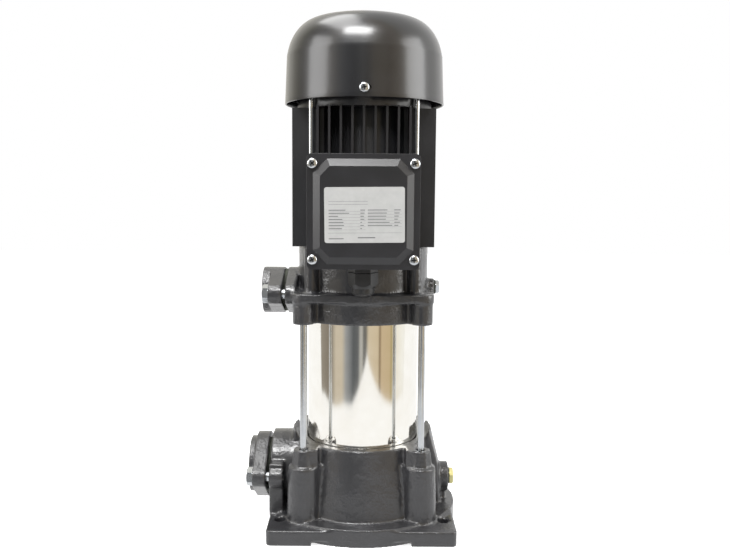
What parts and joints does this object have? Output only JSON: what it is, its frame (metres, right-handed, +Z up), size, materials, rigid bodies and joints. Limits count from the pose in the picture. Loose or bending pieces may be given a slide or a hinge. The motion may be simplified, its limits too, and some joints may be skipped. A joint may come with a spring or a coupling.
{
  "type": "vertical multistage pump",
  "caption": "Vertical multistage pump with side ports on oval flanges, a polished outer sleeve between castings, and a finned fan-cooled motor on top.",
  "frame": {"origin": "centre of the four foot bolts, on the floor plane, under the shaft axis", "axes": "+Z up along the shaft, -X the side of both ports, -Y the terminal box"},
  "size_m": [0.225, 0.2075, 0.5395],
  "materials": {
    "cast_iron_paint": "charcoal satin paint on sand-cast iron",
    "aluminium_paint": "black satin paint on extruded and cast aluminium",
    "cover_paint": "black satin paint on pressed steel sheet",
    "stainless_polished": "mirror-polished stainless tube",
    "stainless_pressed": "pressed stainless sheet",
    "steel_zinc": "bright zinc-plated steel",
    "steel_shaft": "ground steel",
    "brass": "turned brass",
    "rubber": "moulded rubber",
    "fibre_gasket": "cut fibre sheet",
    "plastic_black": "moulded black plastic",
    "plastic_grey": "moulded dark grey nylon",
    "plastic_natural": "moulded natural plastic",
    "core_steel": "stacked electrical steel",
    "winding": "varnished copper winding",
    "ceramic": "lapped ceramic",
    "carbon": "lapped carbon",
    "capacitor_shell": "moulded white shell"
  },
  "bodies": {
    "housing": {"base_casting": "cast_iron_paint", "suction_flange": "cast_iron_paint", "suction_bolts": "steel_zinc", "drain_plug": "brass", "plug_washers": "fibre_gasket", "port_gaskets": "fibre_gasket", "sleeve_gaskets": "fibre_gasket", "outer_sleeve": "stainless_polished", "tie_rods": "steel_zinc", "tie_rod_nuts": "steel_zinc", "tie_rod_washers": "steel_zinc", "discharge_head": "cast_iron_paint", "outlet_flange": "cast_iron_paint", "outlet_bolts": "steel_zinc", "vent_plug": "steel_zinc", "inlet_plate": "stainless_pressed", "lower_bush": "carbon", "neck_rings": "plastic_natural", "top_spacer": "stainless_pressed", "stage_bowls": "stainless_pressed", "diffusers": "stainless_pressed", "seal_seat": "ceramic", "drive_end_outer_ring": "steel_shaft", "fan_end_outer_ring": "steel_shaft", "wave_spring": "steel_shaft", "motor_frame": "aluminium_paint", "stator_core": "core_steel", "stator_windings": "winding", "motor_tie_rods": "steel_zinc", "motor_rod_nuts": "steel_zinc", "fan_end_shield": "aluminium_paint", "fan_cover": "cover_paint", "fan_cover_screws": "steel_zinc", "terminal_box": "aluminium_paint", "lid_gasket": "rubber", "terminal_cover": "aluminium_paint", "lid_screws": "steel_zinc", "terminal_board": "plastic_black", "terminal_studs": "brass", "run_capacitor": "capacitor_shell", "gland_body": "plastic_grey", "gland_locknut": "plastic_grey", "gland_seal": "rubber", "gland_nut": "plastic_grey"},
    "rotor": {"shaft": "steel_shaft", "shaft_spacers": "steel_shaft", "shaft_washer": "steel_zinc", "shaft_nut": "steel_zinc", "impellers": "stainless_pressed", "seal_face": "carbon", "seal_spring": "steel_shaft", "seal_collar": "steel_shaft", "drive_end_inner_ring": "steel_shaft", "fan_end_inner_ring": "steel_shaft", "rotor_core": "core_steel", "fan": "plastic_black", "fan_clip": "steel_zinc"},
    "drive_end_ball_set": {"drive_end_balls": "steel_shaft"},
    "fan_end_ball_set": {"fan_end_balls": "steel_shaft"}
  },
  "joints": [
    {"name": "shaft_spin", "type": "hinge", "parent": "housing", "child": "rotor", "pos_m": [0, 0, 0.29], "axis": [0, 0, 1], "continuous": true},
    {"name": "drive_end_ball_orbit", "type": "hinge", "parent": "housing", "child": "drive_end_ball_set", "pos_m": [0, 0, 0.293], "axis": [0, 0, 1], "continuous": true},
    {"name": "fan_end_ball_orbit", "type": "hinge", "parent": "housing", "child": "fan_end_ball_set", "pos_m": [0, 0, 0.4465], "axis": [0, 0, 1], "continuous": true}
  ],
  "couplings": [
    {"joint": "drive_end_ball_orbit", "follows": "shaft_spin", "ratio": 0.38149},
    {"joint": "fan_end_ball_orbit", "follows": "shaft_spin", "ratio": 0.38175}
  ]
}
